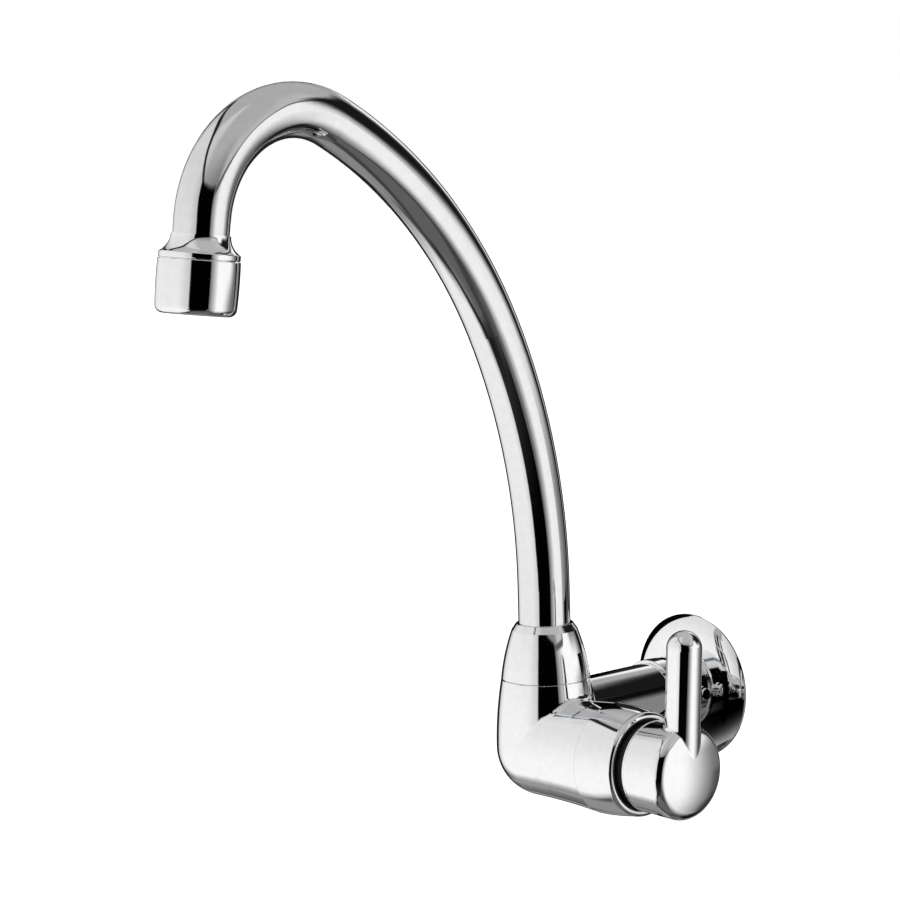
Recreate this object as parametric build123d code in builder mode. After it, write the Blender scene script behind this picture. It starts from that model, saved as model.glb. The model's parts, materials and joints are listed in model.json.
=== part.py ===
from build123d import *
import os
from math import cos, radians, sin, sqrt

# Wall-mounted kitchen tap with a swivelling swan-neck spout and a quarter-turn side lever.
# Millimetres. +X points to the lever, +Z points up, and the tap stands out of the wall along -Y.
# The origin is the middle of the flange's back face, on the axis of the inlet thread.

# Layout of the axes
SPOUT_OFFSET = 78.0  # wall face to the spout's swivel axis
ARM_DROP = 9.5  # side arm axis below the inlet axis

# General clearances and edges
SLIP_GAP = 0.05  # radial gap of a turning or sliding fit
SEAM_GAP = 0.12  # visible joint line between two chromed pieces
SEAM_CHAMFER = 0.25
FACE_GAP = 0.05  # axial gap between stacked rings
CUT_PAST = 1.0  # how far a cutter runs past the face it cuts

# Cast body
ELBOW_RADIUS = 18.5
BODY_SHOULDER_RADIUS = 16.25  # at the joint line under the collar
BODY_SHOULDER_RISE = 25.3  # joint line above the side arm axis
SIDE_ARM_LENGTH = 33.6  # spout axis to the joint line beside the sleeve
SIDE_ARM_RADIUS = 20.1  # at that joint line
WALL_ARM_RADIUS = 12.25
WALL_ARM_BORE = 7.5
WALL_ARM_END = 4.0  # wall face to the end of the arm
SADDLE_FILLET = 2.2  # crease between the spout stand and the side arm
SADDLE_FADE = 2.7  # rise and reach of the crease's end, below which it fades out unrounded
SADDLE_SEARCH_STEP = 0.2
WALL_ARM_FILLET = 2.0
RISE_BORE = 3.0  # slanted water way to the spout
RISE_SINK = 2.0  # how deep its lower end reaches into the headwork chamber

# Inlet nipple, G 1/2
INLET_THREAD_RADIUS = 10.48
INLET_THREAD_LENGTH = 15.0
INLET_SOCKET_DEPTH = 11.0
INLET_SOCKET_GAP = 1.0  # socket floor to the end of the nipple
INLET_BORE = 6.5
INLET_HEX = 21.0  # across flats
INLET_LEAD_CHAMFER = 1.0

# Flange, its hub, gasket and set screw
FLANGE_RADIUS = 27.4
FLANGE_HEIGHT = 4.1  # at the hub
FLANGE_FACE_RADIUS = 19.6  # where the nearly flat face starts to curve down to the rim
FLANGE_FACE_HEIGHT = 3.7
FLANGE_RIM_HEIGHT = 0.7
FLANGE_RIM_WIDTH = 3.2
FLANGE_RIM_ROUND = 0.35
FLANGE_SEAT_DEPTH = 1.3  # recess for the gasket
FLANGE_WALL = 1.3
HUB_RADIUS = 13.4
HUB_LENGTH = 24.0
HUB_COVE = 1.6
HUB_FRONT_ROUND = 0.5
GASKET_WIDTH = 3.5
GASKET_THICKNESS = 0.8
SET_SCREW_OFFSET = 8.8  # wall face to the set screw
SET_SCREW_RADIUS = 1.5
SET_SCREW_HEAD_RADIUS = 2.35
SET_SCREW_HEAD_HEIGHT = 1.9
SET_SCREW_HEAD_ROUND = 0.85
SET_SCREW_PAD_HEIGHT = 0.7
SET_SCREW_PAD_MARGIN = 0.5
SET_SCREW_SLOT = 0.7  # width and depth

# Spout seat in the body
SOCKET_RADIUS = 9.6
SOCKET_FLOOR_RISE = 17.0  # socket floor above the side arm axis
SPIGOT_RADIUS = 13.0
SPIGOT_HEIGHT = 6.2

# Collar that holds the spout down
COLLAR_HEIGHT = 17.9
COLLAR_TOP_RADIUS = 12.05
COLLAR_BULGE = 0.55
COLLAR_LIP_HEIGHT = 2.4
COLLAR_LIP_RADIUS = 10.4
COLLAR_LIP_ROUND = 0.2
COLLAR_BORE_GAP = 0.3

# Swan-neck tube
TUBE_RADIUS = 9.5
TUBE_WALL = 1.0
RISER_LENGTH = 24.0  # straight foot of the tube, to the start of the bend
BACK_BEND_RADIUS = 222.0
BACK_BEND_ANGLE = 26.0
UPPER_BEND_RADIUS = 175.0
UPPER_BEND_ANGLE = 35.3
CROWN_BEND_RADIUS = 39.3
CROWN_BEND_ANGLE = 110.7

# Turned bush in the foot of the tube, with its rings
BUSH_RADIUS = 9.55
BUSH_BORE = 6.8
BUSH_INSERT_LENGTH = 8.0
BUSH_FLOOR_GAP = 1.0
BUSH_LEAD_CHAMFER = 0.6
O_RING_SECTION = 0.82
O_RING_GROOVE_WIDTH = 2.0
O_RING_FIRST = 3.0  # bush foot to the first groove
O_RING_PITCH = 4.6
SLIDE_RING_THICKNESS = 1.0
SLIDE_RING_WIDTH = 2.9
RETAINING_RING_THICKNESS = 1.5
RETAINING_RING_WIDTH = 2.5
RETAINING_GROOVE_DEPTH = 0.75
RETAINING_RING_OPENING = 5.0

# Outlet ferrule, lengths along the outlet axis from the end of the crown bend
FLARE_START = 5.0
FLARE_LENGTH = 6.2
BAND_HEIGHT = 2.0
BAND_RADIUS = 13.65
BAND_ROUND = 0.4
FLARE_EDGE = 0.45
OUTLET_THREAD_RADIUS = 12.0
OUTLET_THREAD_LENGTH = 5.8
OUTLET_NECK_BORE = 8.6

# Aerator
SHELL_LENGTH = 18.3
SHELL_RADIUS = 13.8
SHELL_BULGE = 0.25
SHELL_FOOT_RADIUS = 13.5
SHELL_LOWER_ROUND = 2.75
SHELL_LIP = 1.8
SHELL_MOUTH_RADIUS = 10.4
AERATOR_WASHER_THICKNESS = 1.5
AERATOR_WASHER_WIDTH = 2.6
SCREEN_THICKNESS = 0.4
SCREEN_HOLE_RADIUS = 0.6
SCREEN_PITCH = 1.9
INSERT_FLANGE = 1.2
INSERT_LEDGE_WIDTH = 0.6
INSERT_WALL = 1.4
INSERT_PLATE = 3.0
INSERT_HOLE_RADIUS = 0.8
INSERT_HOLE_MARGIN = 0.2
INSERT_PITCH = 2.3

# Ceramic headwork, a cartridge seated from the mouth of the side arm
HEADWORK_DEPTH = 25.6  # arm mouth to the seat
SEAT_BORE = 5.0
SEAL_THICKNESS = 2.0
CHAMBER_RADIUS = 10.9
HEADWORK_THREAD_LENGTH = 8.6
HEADWORK_RADIUS = 9.4
HEADWORK_CAVITY_RADIUS = 8.4
HEADWORK_CAVITY_LENGTH = 13.0
HEADWORK_THREAD_RADIUS = 10.45
HEADWORK_HEX = 24.0
HEADWORK_HEX_LENGTH = 6.4
HEADWORK_SEAL_SECTION = 0.5
NECK_RADIUS = 8.5
NECK_REACH = 17.4  # arm mouth to the end of the neck
DISC_THICKNESS = 2.6
DISC_FILM = 0.02  # between the two lapped faces
DISC_RADIUS = 8.2
PORT_INNER_RADIUS = 2.6
PORT_OUTER_RADIUS = 6.6
PORT_SPAN = 70.0
PORT_ANGLE = 90.0  # ports of the fixed disc, about the side arm axis
QUARTER_TURN = 90.0
DISC_KEY_WIDTH = 2.4
DISC_KEY_DEPTH = 0.8
STOP_RIB_SPAN = 36.0
STOP_RIB_ANGLE = 45.0
STOP_RIB_INNER_RADIUS = 6.6
WINDOW_WIDTH = 7.0
WINDOW_ANGLE = 135.0

# Spindle
SPINDLE_RADIUS = 5.5
SPINDLE_HEAD_RADIUS = 7.6
SPINDLE_HEAD_WIDTH = 5.6
SPINDLE_HEAD_LENGTH = 3.2
SPINDLE_TANG_WIDTH = 3.0
SPINDLE_TANG_DEPTH = 1.0
SPINDLE_SHOULDER = 1.0
GLIDE_WASHER_THICKNESS = 1.5
SPINDLE_O_RING_SECTION = 0.58
SPINDLE_O_RING_SETBACKS = (13.0, 8.0)  # from the end of the neck
SPINDLE_GROOVE_WIDTH = 1.5
CIRCLIP_THICKNESS = 0.7
CIRCLIP_WIDTH = 2.2
CIRCLIP_GROOVE_DEPTH = 0.6
CIRCLIP_GAP = 0.3  # from the end of the neck
CIRCLIP_OPENING = 4.0
SPLINE_RADIUS = 4.0
SPLINE_TEETH = 20
SPLINE_TOOTH = 0.6
SPLINE_PLAY = 0.15
SPLINE_TURN = 45.0  # each square tooth stands on a corner
SPLINE_SETOFF = 1.8  # from the end of the neck
SPLINE_LENGTH = 15.2

# Side sleeve over the headwork
SLEEVE_THREAD_RADIUS = 17.2
SLEEVE_THREAD_LENGTH = 4.9
SLEEVE_THREAD_WALL = 2.2
SLEEVE_LENGTH = 16.5
SLEEVE_RIM_RADIUS = 18.8
SLEEVE_MOUTH_RADIUS = 16.4
SLEEVE_BEAD = 2.0
SLEEVE_BULGE = 0.3
SLEEVE_BEAD_RADIUS = 1.7
SLEEVE_SEAM_GAP = 0.06  # tighter than the collar's joint line

# Black ring between the sleeve and the handle
GLIDE_RING_REACH = 2.6  # how far it stands out of the sleeve
GLIDE_RING_DEPTH = 3.6  # how deep it sits in the sleeve
GLIDE_RING_RADIUS = 15.3

# Handle
HANDLE_GAP = 0.4
HANDLE_RADIUS = 17.2  # at the front
HANDLE_BACK_RADIUS = 16.4
HANDLE_LENGTH = 17.95
HANDLE_BEAD = 1.35  # rolled edge at the back of the barrel
HANDLE_BEAD_HEIGHT = 0.7
HANDLE_BEAD_RADIUS = 0.87
FACE_CROWN = 3.0
FACE_ROUND = 4.1
HANDLE_WALL = 2.6
HANDLE_FRONT_WALL = 7.6
BOSS_RADIUS = 9.3
BOSS_RECESS = 1.2
LEVER_RADIUS = 6.3
LEVER_RISE = 51.0  # lever tip above the side arm axis
LEVER_TIP_INSET = 4.6  # tip centre behind the middle of the face
LEVER_LEAN = 3.0  # degrees, outwards at the top
LEVER_FILLET = 1.6
INSERT_HEX = 11.0
INSERT_FLOOR = 1.0
HEX_FLAT_TURN = 30.0  # from a corner of a hexagon to the middle of a flat
SPINDLE_TIP_GAP = 0.3
GRUB_SCREW_RADIUS = 2.0
GRUB_SCREW_LENGTH = 8.0
GRUB_SCREW_KEY = 2.0  # hexagon socket, across flats
GRUB_SCREW_INSET = 5.5  # screw axis behind the end of the barrel
GRUB_SCREW_ANGLE = -120.0  # about the arm axis, towards the front underside
GRUB_SCREW_BOSS_RADIUS = 3.8

# Closeness that picks the edges lying on a named surface
ON_SURFACE = 0.02

# Places worked out from the sizes above
ARM_Z = -ARM_DROP
SEAM_Z = ARM_Z + BODY_SHOULDER_RISE
SPIGOT_TOP_Z = SEAM_Z + SPIGOT_HEIGHT
SOCKET_FLOOR_Z = ARM_Z + SOCKET_FLOOR_RISE
COLLAR_RIM_Z = SEAM_Z + COLLAR_HEIGHT
LOWER_SLIDE_Z = SPIGOT_TOP_Z
RETAINING_Z = LOWER_SLIDE_Z + SLIDE_RING_THICKNESS + FACE_GAP
UPPER_SLIDE_Z = RETAINING_Z + RETAINING_RING_THICKNESS + FACE_GAP
COLLAR_SHOULDER_Z = UPPER_SLIDE_Z + SLIDE_RING_THICKNESS + FACE_GAP
TUBE_FOOT_Z = UPPER_SLIDE_Z + SLIDE_RING_THICKNESS / 2
SLIDE_RING_RADIUS = BUSH_RADIUS + SLIP_GAP + SLIDE_RING_WIDTH

SEAT_FACE = SIDE_ARM_LENGTH - HEADWORK_DEPTH
CHAMBER_END = SIDE_ARM_LENGTH - HEADWORK_THREAD_LENGTH
HEADWORK_CAVITY_END = SEAT_FACE + HEADWORK_CAVITY_LENGTH
NECK_END = SIDE_ARM_LENGTH + NECK_REACH
SPINDLE_O_RING_PLACES = [NECK_END - setback for setback in SPINDLE_O_RING_SETBACKS]
SPLINE_START = NECK_END + SPLINE_SETOFF
SPINDLE_END = SPLINE_START + SPLINE_LENGTH
CAGE_START = SEAT_FACE + SEAL_THICKNESS / 2
SEAL_FACE = SEAT_FACE + SEAL_THICKNESS
MOVING_DISC_FACE = SEAL_FACE + DISC_THICKNESS + DISC_FILM
SPINDLE_HEAD_FACE = MOVING_DISC_FACE + DISC_THICKNESS + FACE_GAP
SHOULDER_FACE = SPINDLE_HEAD_FACE + SPINDLE_HEAD_LENGTH
CIRCLIP_FACE = NECK_END + CIRCLIP_GAP
HEX_FACE = SIDE_ARM_LENGTH + 2 * HEADWORK_SEAL_SECTION
SLEEVE_START = SIDE_ARM_LENGTH + SLEEVE_SEAM_GAP
SLEEVE_END = SLEEVE_START + SLEEVE_LENGTH
GLIDE_RING_END = SLEEVE_END + GLIDE_RING_REACH
HANDLE_START = GLIDE_RING_END + HANDLE_GAP
HANDLE_EDGE = HANDLE_START + HANDLE_LENGTH
HANDLE_FACE = HANDLE_EDGE + FACE_CROWN
CAVITY_END = HANDLE_FACE - HANDLE_FRONT_WALL
BOSS_START = HANDLE_START + BOSS_RECESS
INSERT_END = SPINDLE_END + SPINDLE_TIP_GAP + INSERT_FLOOR
INSERT_TURN = GRUB_SCREW_ANGLE - HEX_FLAT_TURN

RISE_TOP = Vector(SOCKET_RADIUS - RISE_BORE, -SPOUT_OFFSET, SOCKET_FLOOR_Z + CUT_PAST)
RISE_FOOT = Vector((SEAT_FACE + CHAMBER_END) / 2, -SPOUT_OFFSET, ARM_Z + CHAMBER_RADIUS - RISE_SINK)

# Planes and axes. SECTION cuts through the spout axis and the side arm axis.
SECTION = Plane.XZ.offset(SPOUT_OFFSET)
SPOUT_AXIS = Axis((0, -SPOUT_OFFSET, 0), (0, 0, 1))
ARM_AXIS = Axis((0, -SPOUT_OFFSET, ARM_Z), (1, 0, 0))
SPOUT_SIDE = Plane(origin=(0, -SPOUT_OFFSET, 0), x_dir=(0, -1, 0), z_dir=(-1, 0, 0))

SCREW_WAY = Vector(0, cos(radians(GRUB_SCREW_ANGLE)), sin(radians(GRUB_SCREW_ANGLE)))
SCREW_PLANE = Plane(
    origin=(HANDLE_EDGE - GRUB_SCREW_INSET, -SPOUT_OFFSET, ARM_Z), x_dir=(1, 0, 0), z_dir=SCREW_WAY
)


def level_plane(height):
    """Horizontal plane on the spout axis, facing up."""
    return Plane(origin=(0, -SPOUT_OFFSET, height))


def arm_plane(place):
    """Plane square to the side arm, facing the lever, with local x to the wall."""
    return Plane(origin=(place, -SPOUT_OFFSET, ARM_Z), x_dir=(0, 1, 0), z_dir=(1, 0, 0))


def ring_sectors(inner_radius, outer_radius, middle_angles, span):
    """Sectors of a ring about the origin of the XY plane, as one sketch."""
    with BuildSketch() as sectors:
        for middle_angle in middle_angles:
            first = middle_angle - span / 2
            with BuildLine():
                inner = CenterArc((0, 0), inner_radius, first, span)
                outer = CenterArc((0, 0), outer_radius, first, span)
                Line(inner @ 0, outer @ 0)
                Line(inner @ 1, outer @ 1)
            make_face()
    return sectors.sketch


def round_grid(pitch, reach):
    """Centres of a hexagonal grid of holes that lie within a radius."""
    rows = int(reach / pitch) + 1
    points = []
    for row in range(-rows, rows + 1):
        for column in range(-rows, rows + 1):
            x = pitch * (column + row / 2)
            y = pitch * row * sqrt(3) / 2
            if x * x + y * y <= reach * reach:
                points.append((x, y))
    return points


os.makedirs("parts", exist_ok=True)
SOLIDS = []


def finish_piece(piece, name):
    """Label a finished piece and write its file."""
    piece.part.label = name
    SOLIDS.append(piece.part)
    export_step(piece.part, f"parts/{name}.step")


# Cast body: ball elbow with a spout stand, a side arm and a wall arm
with BuildPart() as tap_body:
    with BuildSketch(SECTION):
        with BuildLine():
            RadiusArc((0, ARM_Z - ELBOW_RADIUS), (ELBOW_RADIUS, ARM_Z), -ELBOW_RADIUS)
            TangentArc((ELBOW_RADIUS, ARM_Z), (BODY_SHOULDER_RADIUS, SEAM_Z), tangent=(0, 1))
            Polyline(
                (BODY_SHOULDER_RADIUS, SEAM_Z),
                (SPIGOT_RADIUS, SEAM_Z),
                (SPIGOT_RADIUS, SPIGOT_TOP_Z),
                (0, SPIGOT_TOP_Z),
                (0, ARM_Z - ELBOW_RADIUS),
            )
        make_face()
    revolve(axis=SPOUT_AXIS)
    with BuildSketch(SECTION):
        with BuildLine():
            arm_start = (0, ARM_Z + ELBOW_RADIUS)
            arm_end = (SIDE_ARM_LENGTH, ARM_Z + SIDE_ARM_RADIUS)
            TangentArc(arm_start, arm_end, tangent=(1, 0))
            Polyline(arm_end, (SIDE_ARM_LENGTH, ARM_Z), (0, ARM_Z), arm_start)
        make_face()
    revolve(axis=ARM_AXIS)
    # The crease is rounded above a slanted cut, where it is deep enough for a fillet
    saddle_cut = Plane(origin=(SADDLE_FADE, -SPOUT_OFFSET, ARM_Z + SADDLE_FADE), z_dir=(1, 0, 1))
    plain_elbow = split(bisect_by=saddle_cut, keep=Keep.BOTTOM, mode=Mode.PRIVATE)
    saddle = [edge for edge in tap_body.edges() if edge.geom_type == GeomType.BSPLINE]
    widest = tap_body.part.max_fillet(saddle, tolerance=SADDLE_SEARCH_STEP, max_iterations=12)
    fillet(saddle, min(SADDLE_FILLET, widest))
    split(bisect_by=saddle_cut, keep=Keep.TOP)
    add(plain_elbow)
    with BuildSketch(Plane.XZ.offset(WALL_ARM_END)):
        Circle(WALL_ARM_RADIUS)
    extrude(amount=SPOUT_OFFSET - WALL_ARM_END)
    arm_root = [
        edge
        for edge in tap_body.edges().filter_by(GeomType.BSPLINE)
        if abs(sqrt((edge @ 0.5).X ** 2 + (edge @ 0.5).Z ** 2) - WALL_ARM_RADIUS) < ON_SURFACE
    ]
    fillet(arm_root, WALL_ARM_FILLET)
    collar_seam = [
        edge
        for edge in tap_body.edges().filter_by(GeomType.CIRCLE)
        if abs(edge.radius - BODY_SHOULDER_RADIUS) < ON_SURFACE and edge.center().Z > 0
    ]
    chamfer(collar_seam, SEAM_CHAMFER)
    # Spigot that carries the side sleeve
    with BuildSketch(arm_plane(SIDE_ARM_LENGTH)):
        Circle(SLEEVE_THREAD_RADIUS)
        Circle(SLEEVE_THREAD_RADIUS - SLEEVE_THREAD_WALL, mode=Mode.SUBTRACT)
    extrude(amount=SLEEVE_THREAD_LENGTH)
    # Spout socket
    with BuildSketch(level_plane(SOCKET_FLOOR_Z)):
        Circle(SOCKET_RADIUS)
    extrude(amount=SPIGOT_TOP_Z - SOCKET_FLOOR_Z, mode=Mode.SUBTRACT)
    # Water way from the wall, down to the seat pocket
    with BuildSketch(Plane.XZ.offset(WALL_ARM_END)):
        Circle(INLET_THREAD_RADIUS)
    extrude(amount=INLET_SOCKET_DEPTH, mode=Mode.SUBTRACT)
    with BuildSketch(Plane.XZ.offset(WALL_ARM_END + INLET_SOCKET_DEPTH)):
        Circle(WALL_ARM_BORE)
    extrude(
        amount=SPOUT_OFFSET - ELBOW_RADIUS - WALL_ARM_END - INLET_SOCKET_DEPTH, mode=Mode.SUBTRACT
    )
    with BuildSketch(Plane.XZ.offset(SPOUT_OFFSET - ELBOW_RADIUS)):
        Circle(SEAT_BORE)
    extrude(amount=ELBOW_RADIUS, mode=Mode.SUBTRACT)
    with BuildSketch(level_plane(ARM_Z)):
        Circle(SEAT_BORE)
    extrude(amount=ARM_DROP, mode=Mode.SUBTRACT)
    with BuildSketch(arm_plane(0)):
        Circle(SEAT_BORE)
    extrude(amount=SEAT_FACE, mode=Mode.SUBTRACT)
    # Headwork chamber and its threaded mouth
    with BuildSketch(arm_plane(SEAT_FACE)):
        Circle(CHAMBER_RADIUS)
    extrude(amount=CHAMBER_END - SEAT_FACE, mode=Mode.SUBTRACT)
    with BuildSketch(arm_plane(CHAMBER_END)):
        Circle(HEADWORK_THREAD_RADIUS + SLIP_GAP)
    extrude(amount=SIDE_ARM_LENGTH - CHAMBER_END, mode=Mode.SUBTRACT)
    # Slanted water way from the chamber up into the spout socket
    with BuildSketch(Plane(origin=RISE_TOP, z_dir=RISE_FOOT - RISE_TOP)):
        Circle(RISE_BORE)
    extrude(amount=(RISE_FOOT - RISE_TOP).length, mode=Mode.SUBTRACT)
finish_piece(tap_body, "tap_body")

# Inlet nipple: wall thread, hexagon and the thread inside the arm
with BuildPart() as inlet_nipple:
    with BuildSketch(Plane.XZ.offset(-INLET_THREAD_LENGTH)):
        Circle(INLET_THREAD_RADIUS)
    extrude(amount=INLET_THREAD_LENGTH)
    chamfer(inlet_nipple.faces().sort_by(Axis.Y)[-1].edges(), INLET_LEAD_CHAMFER)
    with BuildSketch(Plane.XZ):
        RegularPolygon(INLET_HEX / 2, 6, major_radius=False)
    extrude(amount=WALL_ARM_END - FACE_GAP)
    with BuildSketch(Plane.XZ.offset(WALL_ARM_END - FACE_GAP)):
        Circle(INLET_THREAD_RADIUS - SLIP_GAP)
    extrude(amount=INLET_SOCKET_DEPTH - INLET_SOCKET_GAP)
    with BuildSketch(Plane.XZ.offset(-INLET_THREAD_LENGTH)):
        Circle(INLET_BORE)
    extrude(until=Until.LAST, mode=Mode.SUBTRACT)
finish_piece(inlet_nipple, "inlet_nipple")

# Flange: a disc with a curved rim and a long hub that slides over the wall arm
with BuildPart() as wall_flange:
    with BuildSketch(Plane.YZ):
        hub_bore = WALL_ARM_RADIUS + SLIP_GAP
        with BuildLine():
            face_edge = (-FLANGE_FACE_HEIGHT, FLANGE_FACE_RADIUS)
            rim_top = (-FLANGE_RIM_HEIGHT, FLANGE_RADIUS)
            face_slope = (FLANGE_HEIGHT - FLANGE_FACE_HEIGHT, FLANGE_FACE_RADIUS - HUB_RADIUS)
            TangentArc(face_edge, rim_top, tangent=face_slope)
            Polyline(
                rim_top,
                (0, FLANGE_RADIUS),
                (0, FLANGE_RADIUS - FLANGE_RIM_WIDTH),
                (-FLANGE_SEAT_DEPTH, FLANGE_RADIUS - FLANGE_RIM_WIDTH),
                (-FLANGE_FACE_HEIGHT + FLANGE_WALL, FLANGE_FACE_RADIUS),
                (-FLANGE_HEIGHT + FLANGE_WALL, hub_bore),
                (-HUB_LENGTH, hub_bore),
                (-HUB_LENGTH, HUB_RADIUS),
                (-FLANGE_HEIGHT, HUB_RADIUS),
                face_edge,
            )
        make_face()
    revolve(axis=Axis.Y)
    circles = wall_flange.edges().filter_by(GeomType.CIRCLE)
    cove = [
        edge
        for edge in circles
        if abs(edge.radius - HUB_RADIUS) < ON_SURFACE and edge.center().Y > -HUB_LENGTH / 2
    ]
    fillet(cove, HUB_COVE)
    rim = [
        edge
        for edge in wall_flange.edges().filter_by(GeomType.CIRCLE)
        if abs(edge.radius - FLANGE_RADIUS) < ON_SURFACE and edge.center().Y < -ON_SURFACE
    ]
    fillet(rim, FLANGE_RIM_ROUND)
    hub_front = [
        edge
        for edge in wall_flange.edges().filter_by(GeomType.CIRCLE)
        if abs(edge.radius - HUB_RADIUS) < ON_SURFACE and edge.center().Y < -HUB_LENGTH + ON_SURFACE
    ]
    fillet(hub_front, HUB_FRONT_ROUND)
    # Flat pad and tapped hole for the set screw
    with BuildSketch(Plane.YZ.offset(hub_bore)):
        with Locations((-SET_SCREW_OFFSET, 0)):
            Circle(SET_SCREW_HEAD_RADIUS + SET_SCREW_PAD_MARGIN)
    extrude(amount=HUB_RADIUS + SET_SCREW_PAD_HEIGHT - hub_bore)
    with BuildSketch(Plane.XZ):
        Circle(hub_bore)
    extrude(amount=HUB_LENGTH, mode=Mode.SUBTRACT)
    with BuildSketch(Plane.YZ):
        with Locations((-SET_SCREW_OFFSET, 0)):
            Circle(SET_SCREW_RADIUS + SLIP_GAP)
    extrude(amount=FLANGE_RADIUS, mode=Mode.SUBTRACT)
finish_piece(wall_flange, "wall_flange")

# Set screw that bears on the wall arm, with a domed slotted head
with BuildPart() as flange_set_screw:
    pad_face = HUB_RADIUS + SET_SCREW_PAD_HEIGHT
    with BuildSketch(Plane.YZ.offset(WALL_ARM_RADIUS)):
        with Locations((-SET_SCREW_OFFSET, 0)):
            Circle(SET_SCREW_RADIUS)
    extrude(amount=pad_face - WALL_ARM_RADIUS)
    with BuildSketch(Plane.YZ.offset(pad_face)):
        with Locations((-SET_SCREW_OFFSET, 0)):
            Circle(SET_SCREW_HEAD_RADIUS)
    extrude(amount=SET_SCREW_HEAD_HEIGHT)
    fillet(flange_set_screw.faces().sort_by(Axis.X)[-1].edges(), SET_SCREW_HEAD_ROUND)
    with BuildSketch(Plane.YZ.offset(pad_face + SET_SCREW_HEAD_HEIGHT)):
        with Locations((-SET_SCREW_OFFSET, 0)):
            Rectangle(SET_SCREW_SLOT, 2 * (SET_SCREW_HEAD_RADIUS + CUT_PAST))
    extrude(amount=-SET_SCREW_SLOT, mode=Mode.SUBTRACT)
finish_piece(flange_set_screw, "flange_set_screw")

# Soft ring behind the flange
with BuildPart() as flange_gasket:
    gasket_outer = FLANGE_RADIUS - FLANGE_RIM_WIDTH - SLIP_GAP
    with BuildSketch(Plane.XZ):
        Circle(gasket_outer)
        Circle(gasket_outer - GASKET_WIDTH, mode=Mode.SUBTRACT)
    extrude(amount=GASKET_THICKNESS)
finish_piece(flange_gasket, "flange_gasket")

# Collar: a tapered nut with a bevelled lip, screwed onto the body's spigot
with BuildPart() as spout_collar:
    with BuildSketch(SECTION):
        with BuildLine():
            foot_z = SEAM_Z + SEAM_GAP
            lip_top_z = COLLAR_RIM_Z + COLLAR_LIP_HEIGHT
            collar_bore = TUBE_RADIUS + COLLAR_BORE_GAP
            cavity_radius = SLIDE_RING_RADIUS + SLIP_GAP
            foot = (BODY_SHOULDER_RADIUS, foot_z)
            rim = (COLLAR_TOP_RADIUS, COLLAR_RIM_Z)
            SagittaArc(rim, foot, COLLAR_BULGE)
            Polyline(
                rim,
                (COLLAR_LIP_RADIUS, lip_top_z),
                (collar_bore, lip_top_z),
                (collar_bore, COLLAR_SHOULDER_Z),
                (cavity_radius, COLLAR_SHOULDER_Z),
                (cavity_radius, SPIGOT_TOP_Z),
                (SPIGOT_RADIUS + SLIP_GAP, SPIGOT_TOP_Z),
                (SPIGOT_RADIUS + SLIP_GAP, foot_z),
                foot,
            )
        make_face()
    revolve(axis=SPOUT_AXIS)
    outer_edges = [
        edge
        for edge in spout_collar.edges().filter_by(GeomType.CIRCLE)
        if abs(edge.radius - BODY_SHOULDER_RADIUS) < ON_SURFACE
    ]
    chamfer(outer_edges, SEAM_CHAMFER)
    lip_edges = [
        edge
        for edge in spout_collar.edges().filter_by(GeomType.CIRCLE)
        if abs(edge.center().Z - lip_top_z) < ON_SURFACE
        or abs(edge.center().Z - COLLAR_RIM_Z) < ON_SURFACE
    ]
    fillet(lip_edges, COLLAR_LIP_ROUND)
finish_piece(spout_collar, "spout_collar")

# Two plastic rings that the retaining ring turns between
for name, bottom in (("lower", LOWER_SLIDE_Z), ("upper", UPPER_SLIDE_Z)):
    with BuildPart() as spout_slide_ring:
        with BuildSketch(level_plane(bottom)):
            Circle(SLIDE_RING_RADIUS)
            Circle(BUSH_RADIUS + SLIP_GAP, mode=Mode.SUBTRACT)
        extrude(amount=SLIDE_RING_THICKNESS)
    finish_piece(spout_slide_ring, f"spout_slide_ring_{name}")

# Split ring in the bush's groove, which keeps the spout in the body
with BuildPart() as spout_retaining_ring:
    ring_inner = BUSH_RADIUS - RETAINING_GROOVE_DEPTH + SLIP_GAP
    with BuildSketch(level_plane(RETAINING_Z)):
        Circle(ring_inner + RETAINING_RING_WIDTH)
        Circle(ring_inner, mode=Mode.SUBTRACT)
        with Locations((0, -ring_inner)):
            Rectangle(RETAINING_RING_OPENING, 2 * ring_inner, mode=Mode.SUBTRACT)
    extrude(amount=RETAINING_RING_THICKNESS)
finish_piece(spout_retaining_ring, "spout_retaining_ring")

# Turned bush brazed into the foot of the tube
bush_foot_z = SOCKET_FLOOR_Z + BUSH_FLOOR_GAP
groove_heights = [bush_foot_z + O_RING_FIRST + O_RING_PITCH * count for count in range(2)]
with BuildPart() as spout_bush:
    with BuildSketch(level_plane(bush_foot_z)):
        Circle(BUSH_RADIUS)
    extrude(amount=TUBE_FOOT_Z - bush_foot_z)
    chamfer(spout_bush.faces().sort_by(Axis.Z)[0].edges(), BUSH_LEAD_CHAMFER)
    with BuildSketch(level_plane(TUBE_FOOT_Z)):
        Circle(TUBE_RADIUS - TUBE_WALL - SLIP_GAP)
    extrude(amount=BUSH_INSERT_LENGTH)
    for height in groove_heights:
        with BuildSketch(level_plane(height - O_RING_GROOVE_WIDTH / 2)):
            Circle(BUSH_RADIUS + CUT_PAST)
            Circle(BUSH_RADIUS - 2 * O_RING_SECTION, mode=Mode.SUBTRACT)
        extrude(amount=O_RING_GROOVE_WIDTH, mode=Mode.SUBTRACT)
    with BuildSketch(level_plane(RETAINING_Z - FACE_GAP)):
        Circle(BUSH_RADIUS + CUT_PAST)
        Circle(BUSH_RADIUS - RETAINING_GROOVE_DEPTH, mode=Mode.SUBTRACT)
    extrude(amount=RETAINING_RING_THICKNESS + 2 * FACE_GAP, mode=Mode.SUBTRACT)
    with BuildSketch(level_plane(bush_foot_z)):
        Circle(BUSH_BORE)
    extrude(until=Until.LAST, mode=Mode.SUBTRACT)
finish_piece(spout_bush, "spout_bush")

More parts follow.
